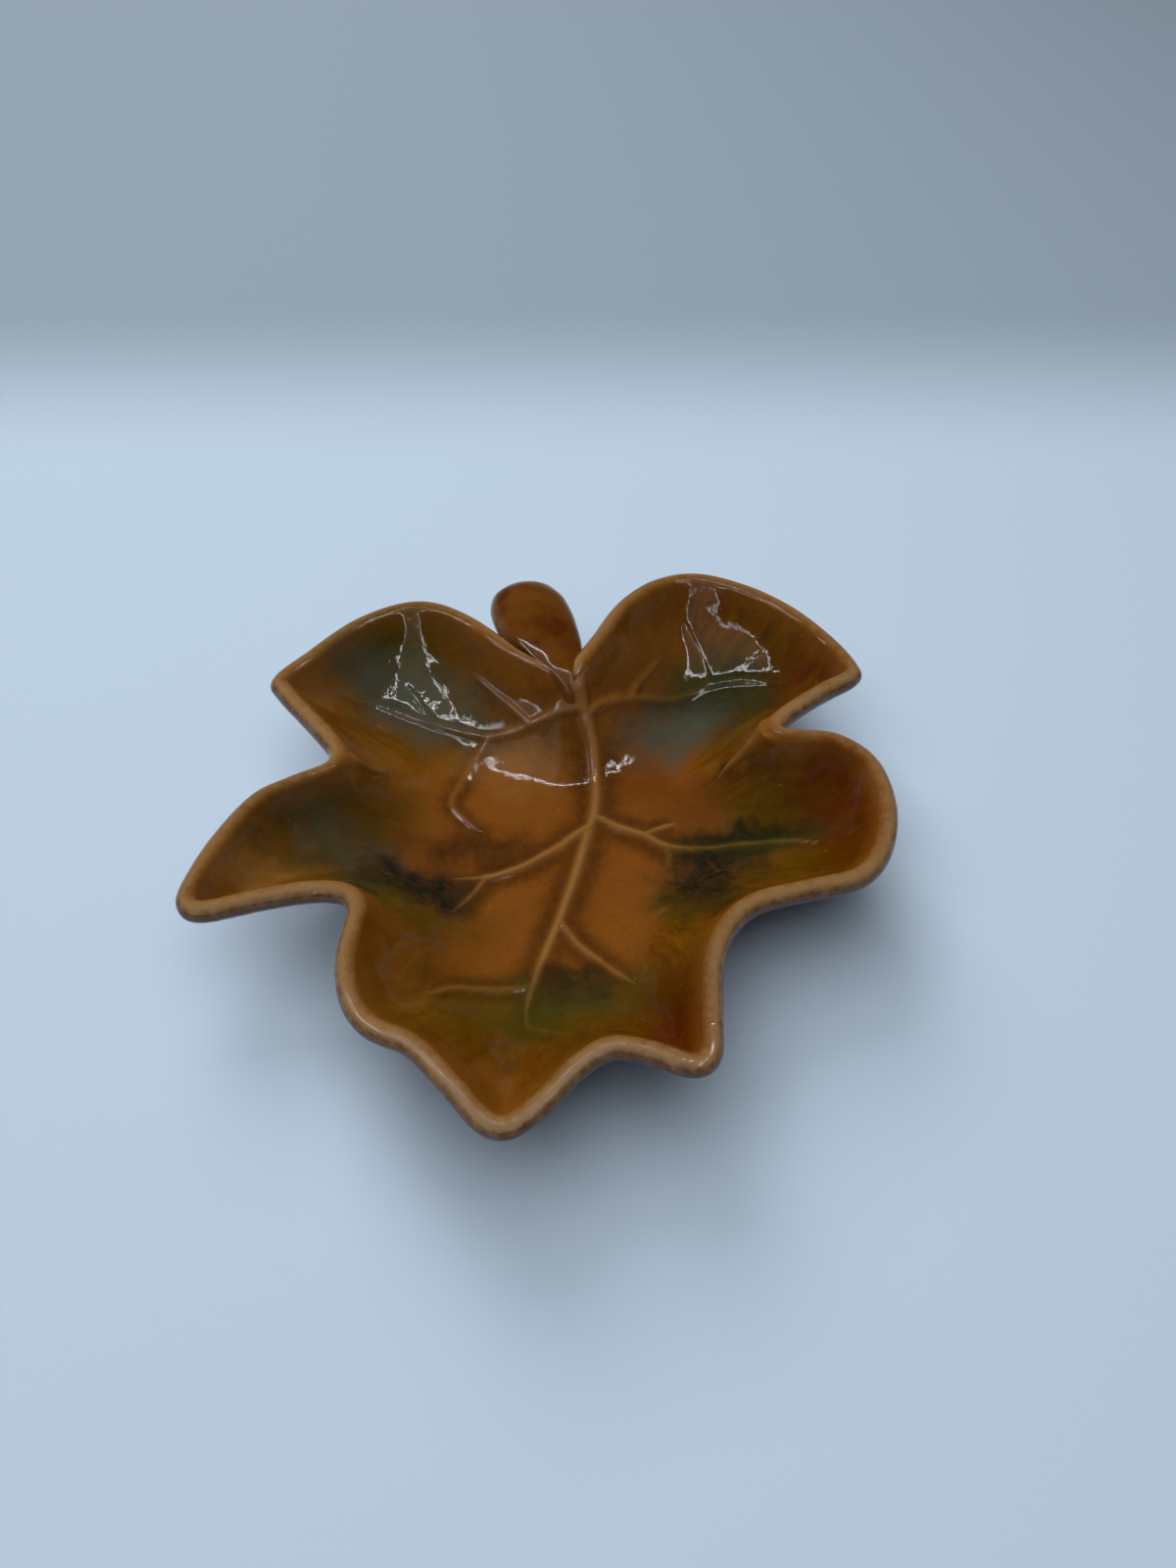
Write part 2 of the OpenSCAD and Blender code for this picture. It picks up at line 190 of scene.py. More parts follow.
# %% Vein lines
# Each vein: width at its start and its end in shares of VEIN_D, how thin the glaze lies on it, its points
VEIN_SHARES = [
    # midrib, then the side veins of the front lobe
    (1.00, 0.60, 1.0, (0.036, 0.269), (0.046, 0.246), (0.057, 0.221), (0.064, 0.195), (0.068, 0.151),
     (0.070, 0.111), (0.066, 0.068), (0.056, 0.031), (0.037, -0.048), (0.014, -0.129), (-0.005, -0.187),
     (-0.021, -0.244), (-0.028, -0.293), (-0.024, -0.326)),
    (0.60, 0.40, 0.3, (-0.024, -0.324), (-0.002, -0.335), (0.030, -0.349)),
    (0.60, 0.40, 0.6, (-0.021, -0.244), (-0.060, -0.252), (-0.100, -0.256), (-0.138, -0.261),
     (-0.174, -0.283)),
    (0.65, 0.40, 0.7, (0.014, -0.129), (0.040, -0.167), (0.073, -0.200), (0.105, -0.234), (0.128, -0.257)),
    # middle left lobe
    (0.80, 0.50, 0.9, (0.062, 0.049), (0.043, 0.037), (0.016, 0.013), (-0.013, -0.008), (-0.041, -0.027),
     (-0.069, -0.039), (-0.098, -0.049), (-0.147, -0.053)),
    (0.60, 0.40, 0.7, (-0.098, -0.049), (-0.113, -0.074), (-0.129, -0.097), (-0.149, -0.123)),
    # middle right lobe
    (0.80, 0.45, 0.9, (0.064, 0.066), (0.078, 0.064), (0.102, 0.050), (0.146, 0.032), (0.178, 0.011),
     (0.214, 0.003), (0.250, 0.000), (0.294, 0.003), (0.336, 0.001), (0.381, -0.005), (0.412, -0.021)),
    (0.60, 0.40, 0.8, (0.146, 0.032), (0.166, 0.044), (0.198, 0.056)),
    (0.60, 0.40, 0.6, (0.178, 0.011), (0.184, -0.008), (0.184, -0.031)),
    # back left lobe
    (0.80, 0.45, 0.3, (0.044, 0.246), (0.020, 0.244), (-0.005, 0.237), (-0.030, 0.230), (-0.058, 0.225),
     (-0.100, 0.222), (-0.145, 0.236), (-0.194, 0.254), (-0.240, 0.267), (-0.290, 0.279), (-0.340, 0.275)),
    (0.60, 0.40, 0.3, (-0.100, 0.222), (-0.126, 0.188), (-0.140, 0.156), (-0.156, 0.125), (-0.165, 0.092),
     (-0.140, 0.063), (-0.115, 0.043)),
    (0.60, 0.40, 0.2, (-0.036, 0.230), (-0.063, 0.257), (-0.085, 0.277), (-0.108, 0.300), (-0.130, 0.324)),
    (0.50, 0.40, 0.2, (-0.203, 0.257), (-0.233, 0.300), (-0.258, 0.324)),
    # back right lobe
    (0.80, 0.45, 0.3, (0.052, 0.242), (0.076, 0.261), (0.120, 0.284), (0.156, 0.298), (0.197, 0.308),
     (0.234, 0.326), (0.271, 0.345), (0.312, 0.347), (0.349, 0.337), (0.395, 0.314)),
    (0.60, 0.40, 0.2, (0.123, 0.285), (0.134, 0.314), (0.157, 0.349), (0.180, 0.386)),
    (0.60, 0.40, 0.2, (0.268, 0.345), (0.256, 0.394), (0.236, 0.427), (0.220, 0.452)),
    # folds that run inward from the notches of the right and the left side
    (1.10, 0.40, 0.6, (0.344, 0.137), (0.322, 0.133), (0.300, 0.128), (0.276, 0.120)),
    (0.70, 0.40, 0.6, (-0.312, 0.082), (-0.290, 0.092), (-0.266, 0.110)),
]
print(len(VEIN_SHARES), "veins and folds")

# %% [markdown]
# ## How high a vein stands
# The midrib is 3.6 mm wide and stands 1.3 mm high, and up to 1.8 mm where veins meet. Bump in a material
# would leave the mesh flat, and would look wrong from the side, so the height is real. The same distances
# tell the glaze later where it lies thin, on a vein's back, and where it gathers, beside it.

# %% Vein relief
# Shares of a vein's width: height and half width of its swelling, the same of its skirt, half width of the
# thin glaze on its back, and spread of the gathered glaze beside it
SWELL_H, SWELL_HALF = 0.3, 0.65
SKIRT_H, SKIRT_HALF = 0.07, 1.3
CREST_HALF, SIDE_HALF = 0.4, 1.1
# A vein narrows over its last sixth, to the root of TIP_SHARE, and is felt no further than VEIN_MARGIN mm
TAPER, TIP_SHARE = 6, 0.15
VEIN_MARGIN = 8
VEIN_STEPS = 4


def nearest_on_line(plan, line):
    """Distance from plan points to a line of straight stretches, and the share of the way along it of the
    nearest point: the foot of each point on each stretch, kept between its ends, and the least of them."""
    start, way = line[:-1], line[1:] - line[:-1]
    foot = ((plan[:, None] - start) * way).sum(2) / (way * way).sum(1)
    foot = np.clip(foot, 0, 1)
    away = np.linalg.norm(plan[:, None] - (start + foot[..., None] * way), axis=2)
    nearest = away.argmin(1)
    rows = np.arange(len(plan))
    return away[rows, nearest], (nearest + foot[rows, nearest]) / len(way)


def vein_relief(plan):
    """(height, crest, side) of all veins, where d is the distance to a vein's line and w its width there.
    A vein's swelling is SWELL_H w (1 - (d / (SWELL_HALF w))^2)^2, and its skirt is
    SKIRT_H w e^(-(d / (SKIRT_HALF w))^2). Swellings join as the fourth root of the sum of their fourth
    powers, and skirts add up. crest says how thin the glaze lies on a vein's back, from 0 to 1, and side
    how deep it gathers beside it."""
    fourth, skirt, crest, side = (np.zeros(len(plan)) for _ in range(4))
    for first, last, thin, *points in VEIN_SHARES:
        line = spline(np.array(points) * LEAF, VEIN_STEPS)
        low, high = line.min(0) - VEIN_MARGIN, line.max(0) + VEIN_MARGIN
        near = np.flatnonzero(((plan > low) & (plan < high)).all(1))
        d, along = nearest_on_line(plan[near], line)
        w = VEIN_D * (first + (last - first) * along) * np.clip((1 - along) * TAPER, TIP_SHARE, 1) ** 0.5
        fourth[near] += (SWELL_H * w * np.clip(1 - (d / (SWELL_HALF * w)) ** 2, 0, 1) ** 2) ** 4
        skirt[near] += SKIRT_H * w * np.exp(-(d / (SKIRT_HALF * w)) ** 2)
        crest[near] = np.maximum(crest[near], thin * np.exp(-(d / (CREST_HALF * w)) ** 2))
        beside = np.exp(-((d - w) / (SIDE_HALF * w)) ** 2) * np.clip(2 * w / VEIN_D, 0, 1)
        side[near] = np.maximum(side[near], beside)
    return fourth ** 0.25 + skirt, crest, side


# %% [markdown]
# ## The leaf's surfaces
# Straight columns run from a small circle in the middle of the floor out to the points of the rim, and
# rings run across them, closer together near the rim where the wall is steep. The wall's thickness lies
# half to each side of the middle surface, square to it, as in a slab of clay pressed over a mould.

# %% Middle surface
RINGS = 92
# Where the columns start: a circle of POLE_R mm round a point of the floor
POLE = np.array([0.013 * LEAF_W, 0.036 * LEAF_L])
POLE_R = 0.4
RING_POWER = 1.25
way = 1 - (1 - np.arange(RINGS + 1) / RINGS) ** RING_POWER
out_way = (rim_plan - POLE) / np.linalg.norm(rim_plan - POLE, axis=1)[:, None]
first_ring = POLE + POLE_R * out_way
plan = first_ring + (rim_plan - first_ring) * way[:, None, None]
rise, reach = (v.reshape(RINGS + 1, columns) for v in rise_and_reach(plan.reshape(-1, 2)))
rise[-1] = RIM_RISE * rim_lift
middle = np.concatenate([plan, FLOOR_MID + rise[..., None]], axis=2)
print(f"middle surface: {RINGS + 1} rings of {columns} points, rising {rise.max():.1f} mm")

# %% [markdown]
# ## Directions square to the surface
# The clay is as thick on the wall as on the floor, which it would not be if the surface were only moved up
# and down. So both faces are laid off square to the middle. Its slope is measured with a small step to each
# side. At the rim such a step would fall off the leaf, so there the slope comes from the profile's own
# formula, and over the next millimetre the two are blended.


# %% Square to the surface
def unit(v):
    """Each vector divided by its length."""
    return v / np.linalg.norm(v, axis=-1, keepdims=True)


PROBE = 0.1
BLEND_FROM = 0.3


def square_to(plan):
    """Unit normals of the middle surface: (-slope in x, -slope in y, 1), with the slopes from a step of
    PROBE to each side."""
    steps = [np.array(v) * PROBE for v in ((1, 0), (-1, 0), (0, 1), (0, -1))]
    east, west, north, south = (rise_and_reach(plan + step)[0] for step in steps)
    return unit(np.stack([west - east, south - north, np.full(len(plan), 2 * PROBE)], axis=1))


normal = square_to(plan[:-1].reshape(-1, 2)).reshape(RINGS, columns, 3)
rim_along = unit(np.roll(middle[-1], -1, 0) - np.roll(middle[-1], 1, 0))
rim_slope = (1 - WALL_BOW_SHARE) * WALL_POWER * (RIM_RISE - LIP_RISE) / WALL_RUN + 2 * LIP_RISE / LIP_RUN
uphill = np.stack([rim_along[:, 1], -rim_along[:, 0], np.full(columns, rim_slope)], axis=1)
rim_up = unit(np.cross(uphill, rim_along))
inner_share = np.clip(reach[:-1, :, None] - BLEND_FROM, 0, 1)
normal = np.concatenate([unit(normal * inner_share + rim_up * (1 - inner_share)), rim_up[None]])
rim_out = np.cross(rim_along, rim_up)
print(f"the wall meets the rim at {np.degrees(np.arctan(rim_slope)):.0f} degrees")

# %% [markdown]
# ## Glazed face, rolled rim and underside
# The rim of the real dish is a smooth roll, a little thicker than the wall. A bevel would change its width
# in the notches, so the bead is a half circle at every point of the rim's line. The veins are only on the
# face. The underside is smooth and seldom seen, so it has fewer rings, and inside the foot it is flat.

# %% Three surfaces
# The wall thickens to the rim over this last part of the way out
THICKENS_AT, THICKENS_OVER = 0.7, 0.3
half_wall = (WALL + (RIM_D - WALL) * np.clip((way - THICKENS_AT) / THICKENS_OVER, 0, 1)) / 2
height, crest, side = (v.reshape(RINGS + 1, columns) for v in vein_relief(plan.reshape(-1, 2)))
glazed = middle + normal * (half_wall[:, None] + height)[..., None]
BEAD_STEPS = 12
turn = (np.pi * np.arange(BEAD_STEPS + 1) / BEAD_STEPS)[:, None, None]
bead = middle[-1] + (rim_up * np.cos(turn) + rim_out * np.sin(turn)) * RIM_D / 2
# Every fourth ring, and every second of the last six, from the rim inwards
under_rings = np.unique(np.r_[0:RINGS:4, RINGS - 6:RINGS:2])[::-1]
under = middle[under_rings] - normal[under_rings] * half_wall[under_rings][:, None, None]
FOOT_MIDDLE = np.array([0.006 * LEAF_W, -0.027 * LEAF_L, 0])
past_foot = (np.linalg.norm(under[..., :2] - FOOT_MIDDLE[:2], axis=2) - FOOT_D / 2) / WALL
past_foot = np.clip(past_foot, 0, 1)
under[..., 2] = FOOT_H + (under[..., 2] - FOOT_H) * past_foot ** 2 * (3 - 2 * past_foot)
print(f"veins up to {height.max():.2f} mm; rings: face {len(glazed)}, bead {len(bead)}, under {len(under)}")

# %% [markdown]
# ## From rows of points to a closed mesh
# Every piece here is a stack of rings closed with a point at each end, like a lampshade with both holes
# sewn up. The rings run counter-clockwise seen from outside the first cap, so all faces point outwards.
# The foot is like a tyre instead, and its last ring of points is joined to the first. A modifier could
# screw or skin such forms, but here each point has to carry notes for its glaze.


# %% Mesh maker
def mesh_object(name, points, faces):
    """Object in the scene with its own mesh, from points in mm and the numbers of each face's points."""
    mesh = bpy.data.meshes.new(name)
    mesh.from_pydata(points * MM, [], faces)
    thing = bpy.data.objects.new(name, mesh)
    bpy.context.scene.collection.objects.link(thing)
    return thing


def ring_mesh(name, rows, caps=None, notes=None):
    """Mesh object from rings of points in mm (rings x points x 3). Each point is joined to the next in its
    ring and to the next ring. Two cap points close the first and last ring, and without them the last ring
    is joined to the first. notes are values per point, kept as attributes for the materials."""
    rings, n = rows.shape[:2]
    a = np.arange((rings - (caps is not None)) * n)
    b = a - a % n + (a + 1) % n
    faces = (np.stack([a, a + n, b + n, b], axis=1) % (rings * n)).tolist()
    points = rows.reshape(-1, 3)
    if caps is not None:
        points = np.vstack([points, *caps])
        i, last = np.arange(n), (rings - 1) * n
        faces += np.stack([np.full(n, rings * n), i, (i + 1) % n], axis=1).tolist()
        faces += np.stack([np.full(n, rings * n + 1), last + (i + 1) % n, last + i], axis=1).tolist()
    piece = mesh_object(name, points, faces)
    mesh = piece.data
    mesh.shade_smooth()
    for note, values in (notes or {}).items():
        values = np.append(values.ravel(), (values[0].mean(), values[-1].mean())).astype(np.float32)
        mesh.attributes.new(note, "FLOAT", "POINT").data.foreach_set("value", values)
    mesh.calc_loop_triangles()
    print(f"{name}: {len(mesh.loop_triangles)} triangles")
    return piece


# %% [markdown]
# ## The leaf as one piece
# Face, bead and underside follow each other in one stack of rings. Notes go with the points for the glaze:
# crest and side of the veins, reach from the rim on the plan, and inside, the way over the clay from the
# middle of the bead, which is negative on the outer side. front is positive where the rim faces the viewer,
# because the near rims get painted light: they are painted paler. The frame's origin lies under the middle
# of the rim's box.

# %% Leaf piece
rows = np.concatenate([glazed[:-1], bead, under])
rim_centre = (bead.reshape(-1, 3).max(0) + bead.reshape(-1, 3).min(0)) / 2
CENTRE = np.array([rim_centre[0], rim_centre[1], 0])
half_round = np.pi * RIM_D / 4
inside = half_round + np.hypot(reach, rise[-1] - rise)
over = np.linspace(half_round, -half_round, BEAD_STEPS + 1)[:, None] * np.ones(columns)
quiet = np.zeros((len(bead) + len(under), columns))
notes = {
    "crest": np.concatenate([crest[:-1], quiet]),
    "side": np.concatenate([side[:-1], quiet]),
    "reach": np.concatenate([reach[:-1], quiet[:len(bead)], reach[under_rings]]),
    "inside": np.concatenate([inside[:-1], over, -inside[under_rings]]),
    "front": np.broadcast_to(-rim_out[:, 1], rows.shape[:2]),
}
top_cap = np.append(POLE, FLOOR_MID + WALL / 2)
low_cap = np.append(POLE, FLOOR_MID - WALL / 2)
leaf = ring_mesh("leaf", rows - CENTRE, (top_cap - CENTRE, low_cap - CENTRE), notes)
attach(leaf, "root")
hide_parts("leaf_shell")

# %% [markdown]
# ## The stem
# The stem is a club of clay that was luted into the back notch before firing. Its root runs over the notch
# and a few millimetres down the inner wall, and its round head stands behind the leaf. It could be pulled
# from a cylinder by hand. Here it is ovals along a line, joined with the same spline as the rim, because
# each oval can be set against the photograph on its own. The CAD's stem ends outside the rim, and only this
# one has the flow of clay over the notch.

# %% Stem piece
STEM_W = 20
STEM_T = 10
STEM_LIFT = 0.46
STEM_ROOT_SHARE = 0.54
STEM_STEPS = 6
STEM_SIDES = 64
# Each oval: middle in shares of the leaf, width and thickness in shares of the stem's, share of the climb
STEM_SHARES = np.array([
    (0.032, 0.228, 0.10, 0.20, 0.00), (0.030, 0.244, 0.20, 0.40, 0.28), (0.028, 0.260, 0.30, 0.58, 0.52),
    (0.022, 0.280, 0.46, 0.70, 0.70), (0.009, 0.308, 0.66, 0.74, 0.79), (-0.006, 0.338, 0.84, 0.83, 0.88),
    (-0.025, 0.375, 0.98, 0.95, 0.95), (-0.041, 0.414, 1.00, 1.00, 1.00),
    (-0.048, 0.441, 0.94, 0.95, 1.00), (-0.051, 0.463, 0.78, 0.82, 0.98), (-0.053, 0.477, 0.53, 0.58, 0.96),
    (-0.054, 0.483, 0.22, 0.24, 0.95),
])
stem_root_z = FLOOR_MID + STEM_ROOT_SHARE * RIM_RISE
stem_end_z = FLOOR_MID + RIM_RISE + STEM_LIFT
sections = spline(STEM_SHARES, STEM_STEPS)
stem_z = stem_root_z + (stem_end_z - stem_root_z) * sections[:, 4]
stem_line = np.column_stack([sections[:, :2] * LEAF, stem_z])
ahead = unit(np.gradient(stem_line, axis=0))
across = unit(np.column_stack([ahead[:, 1], -ahead[:, 0], np.zeros(len(ahead))]))
above = np.cross(across, ahead)
turn = 2 * np.pi * np.arange(STEM_SIDES) / STEM_SIDES
wide = across[:, None] * np.cos(turn)[:, None] * (STEM_W * sections[:, 2] / 2)[:, None, None]
thick = above[:, None] * np.sin(turn)[:, None] * (STEM_T * sections[:, 3] / 2)[:, None, None]
stem_rows = stem_line[:, None] + wide - thick
along_share = np.arange(len(sections)) / (len(sections) - 1)
stem_notes = {
    "flank": np.broadcast_to(np.cos(turn), stem_rows.shape[:2]),
    "along": np.broadcast_to(along_share[:, None], stem_rows.shape[:2]),
}
stem = ring_mesh("stalk", stem_rows - CENTRE, (stem_line[0] - CENTRE, stem_line[-1] - CENTRE), stem_notes)
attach(stem, "root")
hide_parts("stem")

# %% [markdown]
# ## The foot
# Under the floor is a low ring. It is wiped clean of glaze before firing so that the dish doesn't stick to
# the kiln shelf, and it shows the bare, slightly sandy clay. A torus would be too round below, so it is a
# profile carried round a circle: a strip FOOT_FACE wide and FOOT_H high, whose lower edges are quarter
# circles.

# %% Foot piece
FOOT_ROUND = 1
FOOT_SIDES = 160
CORNER_STEPS = 6
corner = np.pi / 2 * np.arange(CORNER_STEPS + 1) / CORNER_STEPS
outer = np.column_stack([np.cos(corner), 1 - np.sin(corner)]) * FOOT_ROUND + (FOOT_D / 2 - FOOT_ROUND, 0)
inner = (FOOT_D - FOOT_FACE, 0) + outer[::-1] * (-1, 1)
section = np.vstack([(FOOT_D / 2, FOOT_H), outer, inner, (FOOT_D / 2 - FOOT_FACE, FOOT_H)])
turn = 2 * np.pi * np.arange(FOOT_SIDES) / FOOT_SIDES
ring = np.stack([section[:, :1] * np.cos(turn), section[:, :1] * np.sin(turn),
                 np.repeat(section[:, 1:], FOOT_SIDES, axis=1)], axis=2)
foot = ring_mesh("foot", ring + FOOT_MIDDLE - CENTRE)
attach(foot, "root")
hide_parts("foot_ring")

# %% [markdown]
# ## Words for materials
# A glaze is sums and products of a few fields: how thick it lies, where an oxide was dabbed, how it ran.
# Wired by hand that is a hundred Math nodes. A small class wraps a socket, so that the same sum can be
# written as a formula and adds its nodes by itself. A second class adds the nodes of one material.


# %% Shader helpers
class Field:
    """A number that a material works out at each point. Sums and products of fields add Math nodes."""

    def __init__(self, nodes, socket):
        self.nodes, self.socket = nodes, socket

    def math(self, operation, *others):
        """A Math node of this field and other fields or numbers."""
        return self.nodes.add("ShaderNodeMath", {"operation": operation}, dict(enumerate((self, *others))))

    def __add__(self, other):
        return self.math("ADD", other)

    def __mul__(self, other):
        return self.math("MULTIPLY", other)

    def __sub__(self, other):
        return self.math("SUBTRACT", other)

    def __rsub__(self, other):
        return self.nodes.add("ShaderNodeMath", {"operation": "SUBTRACT"}, {0: other, 1: self})

    __radd__ = __add__

    def most(self, other):
        """The larger of the two."""
        return self.math("MAXIMUM", other)

    def rising(self, low, high):
        """0 below low, 1 above high, and a smooth slope between; with low above high it falls instead."""
        settings = {"interpolation_type": "SMOOTHSTEP"}
        if low < high:
            return self.nodes.add("ShaderNodeMapRange", settings, {0: self, 1: low, 2: high})
        return self.nodes.add("ShaderNodeMapRange", settings, {0: self, 1: high, 2: low, 3: 1, 4: 0})


class Nodes:
    """The nodes of one material or of the world."""

    def __init__(self, owner):
        owner.use_nodes = True
        self.owner, self.tree = owner, owner.node_tree
        self.tree.nodes.clear()

    def add(self, kind, settings=None, inputs=None, out=0):
        """Adds a node of that type, sets its settings first and then the values or links of its inputs, and
        gives back the output with that number or name."""
        node = self.tree.nodes.new(kind)
        for key, value in (settings or {}).items():
            setattr(node, key, value)
        for key, value in (inputs or {}).items():
            if isinstance(value, Field):
                self.tree.links.new(value.socket, node.inputs[key])
            else:
                node.inputs[key].default_value = value
        return Field(self, node.outputs[out]) if node.outputs else None

    def mix(self, first, second, share):
        """The first colour where share is 0, the second where it is 1."""
        return self.add("ShaderNodeMix", {"data_type": "RGBA"}, {0: share, 6: first, 7: second}, out=2)

    def vector(self, operation, *inputs, out=0):
        """Vector Math on places, directions or plain triples."""
        return self.add("ShaderNodeVectorMath", {"operation": operation}, dict(enumerate(inputs)), out)

    def noise(self, place, scale, detail=3, roughness=0.5, out=0):
        """Soft noise from 0 to 1, with `scale` waves to a millimetre and finer ones on top of them."""
        inputs = {"Vector": place, "Scale": scale, "Detail": detail, "Roughness": roughness}
        return self.add("ShaderNodeTexNoise", None, inputs, out)

    def note(self, name):
        """A value that was kept on the points of the mesh."""
        return self.add("ShaderNodeAttribute", {"attribute_name": name}, out="Fac")

    def place(self):
        """Where a point of the piece is, in millimetres."""
        point = self.add("ShaderNodeTexCoord", out="Object")
        return self.add("ShaderNodeVectorMath", {"operation": "SCALE"}, {0: point, "Scale": 1 / MM})

    def bump(self, height, tallest, more=None):
        """Normals as if the surface stood higher by a field times `tallest` millimetres."""
        inputs = {"Strength": 1, "Distance": tallest * MM, "Height": height, **(more or {})}
        return self.add("ShaderNodeBump", None, inputs)

    def cover(self, piece, shader):
        """Ends the material with its shader and gives it to the piece."""
        self.add("ShaderNodeOutputMaterial", None, {"Surface": shader})
        piece.data.materials.append(self.owner)
        print(f"{self.owner.name}: {len(self.tree.nodes)} nodes")


def colour(red, green, blue):
    """A colour as read off a screen, 0 to 255, as the linear light that a shader works in."""
    parts = np.array([red, green, blue]) / 255
    linear = np.where(parts <= 0.04045, parts / 12.92, ((parts + 0.055) / 1.055) ** 2.4)
    return (*linear.tolist(), 1)


# %% [markdown]
# ## The glaze
# One transparent amber glaze covers all of it. Where it is thin, on the rim and the backs of the veins, the
# pale clay shows through as tan. Where it pools, beside the veins and at the foot of the wall, it is brown.
# Over that, copper and cobalt were dabbed on by hand and ran a little: green, slate and blue-black patches
# with soft, ragged edges. The grey of the slate is partly a painted reflection, a haze that the glaze
# mirrors over the dark patches. A painted picture of them would be stretched on the walls, so each dab is a
# soft ellipse on the leaf's own plan, pushed about by noise.

# %% Glaze colours
TAN = colour(142, 112, 74)
VEIN_TAN = colour(144, 100, 48)
AMBER = colour(124, 76, 22)
FLOOR_BROWN = colour(120, 69, 18)
WALL_BROWN = colour(101, 59, 2)
DEEP_BROWN = colour(52, 26, 4)
OCHRE = colour(116, 80, 6)
RED_BROWN = colour(78, 27, 0)
UNDER_BROWN = colour(86, 46, 14)
OLIVE = colour(64, 54, 2)
GREEN = colour(44, 52, 14)
# the slate of the cobalt patches, whose grey is partly a painted reflection, a haze mirrored over them
SLATE_AND_PAINTED_HAZE = colour(70, 74, 62)
NAVY = colour(18, 20, 14)
BARK = colour(52, 28, 8)
PALE_GREEN = colour(88, 76, 34)

# Each dab: middle in mm, half length, half width, turn in degrees, softness, strength, colour
BROWN_DABS = [
    (-8, -62, 20, 12, 0, 0.6, 0.35, RED_BROWN), (28, -53, 10, 17, 10, 0.6, 1, RED_BROWN),
    (68, 4, 12, 22, 0, 0.6, 0.9, RED_BROWN), (62, 44, 14, 12, 30, 0.6, 0.7, RED_BROWN),
    (-60, 36, 12, 8, -30, 0.6, 0.4, RED_BROWN), (-54, 7, 13, 6, 25, 0.7, 0.8, RED_BROWN),
    (-37, -38, 10, 18, 0, 0.7, 0.7, AMBER), (-48, 16, 11, 7, 0, 0.7, 1, AMBER),
    (-17, 55, 10, 13, 0, 0.6, 0.6, AMBER), (-18, 2, 12, 6, 0, 0.6, 0.8, BARK),
    (-10, 27, 12, 7, 0, 0.8, 0.5, VEIN_TAN), (-40, 12, 12, 12, 0, 0.8, 0.5, AMBER),
    (-44, -22, 14, 6, 20, 0.6, 0.4, AMBER), (25, 21, 8, 7, 0, 0.9, 0.4, RED_BROWN),
    (34, 12, 8, 6, 0, 0.8, 0.4, BARK), (-28, -4, 8, 5, 0, 0.8, 0.4, BARK),
    (-10, -67, 12, 6, -30, 0.8, 0.6, AMBER), (19, 54, 16, 13, 60, 0.8, 0.7, AMBER),
    (-6, 42, 8, 7, 0, 0.8, 0.5, AMBER),
    (-66, -15, 12, 6, 20, 0.8, 0.6, VEIN_TAN), (-60, 40, 9, 6, 20, 0.8, 0.5, VEIN_TAN),
    (55, 24, 10, 8, 20, 0.8, 0.9, AMBER), (9, 38, 8, 8, 0, 0.8, 0.7, AMBER),
]
OXIDE_AND_HAZE_DABS = [
    (0, -44, 24, 9, 5, 0.8, 0.85, OLIVE), (-21, -21, 9, 7, 0, 0.8, 0.5, OLIVE),
    (50, 6, 11, 7, 10, 0.8, 0.6, OLIVE), (-48, 4, 15, 7, 30, 0.8, 0.4, OLIVE),
    (-42, 58, 16, 8, 10, 0.8, 0.6, OLIVE),
    (52, -8, 12, 5, 0, 0.8, 0.5, OLIVE), (32, -17, 10, 9, -30, 0.6, 0.8, OLIVE),
    (-31, 31, 9, 6, 0, 0.8, 0.5, OLIVE), (-52, 0, 16, 7, 20, 0.8, 0.4, GREEN),
    # the slate dab at (40, 47) is a painted reflection: a grey haze laid over the dark green patch
    (-38, -18, 12, 6, -8, 0.8, 0.9, GREEN), (40, 47, 9, 7, 0, 0.8, 0.5, SLATE_AND_PAINTED_HAZE),
    (4, -41, 12, 6, 0, 0.8, 0.6, GREEN), (48, 0, 15, 4, -2, 0.8, 0.8, GREEN),
    (42, 46, 15, 13, 10, 0.8, 0.85, GREEN), (-46, -7, 14, 6, -14, 0.8, 0.35, GREEN),
    (41, 42, 13, 10, 10, 0.8, 0.6, NAVY),
    (-38, 48, 18, 11, -16, 0.8, 0.65, GREEN), (-36, 43, 17, 8, -22, 0.8, 0.9, SLATE_AND_PAINTED_HAZE),
    (31, 36, 13, 7, 20, 0.8, 0.9, SLATE_AND_PAINTED_HAZE), (-46, -4, 12, 5, -20, 0.8, 0.4, SLATE_AND_PAINTED_HAZE),
    (6, -35, 8, 4, 0, 0.8, 0.75, NAVY), (36, -9, 9, 12, -28, 0.7, 1, NAVY),
    (-31, -11, 13, 6, -8, 0.7, 1, NAVY), (46, 3, 12, 2, -3, 0.8, 0.7, NAVY),
]
print(len(BROWN_DABS), "dabs of brown and amber,", len(OXIDE_AND_HAZE_DABS), "of oxides")

# %% [markdown]
# ## Fields of the leaf's glaze
# A field is one number at each point of the clay. Slow noise pushes places about, within RUN millimetres, so
# that the dabs get the edges of a glaze that ran. Finer noise, the grain, breaks them up. The streaks run
# down the wall: their noise changes fast with the direction from the middle of the floor, and only slowly
# outwards. A painted image could do this too, but it would be stretched on the walls.

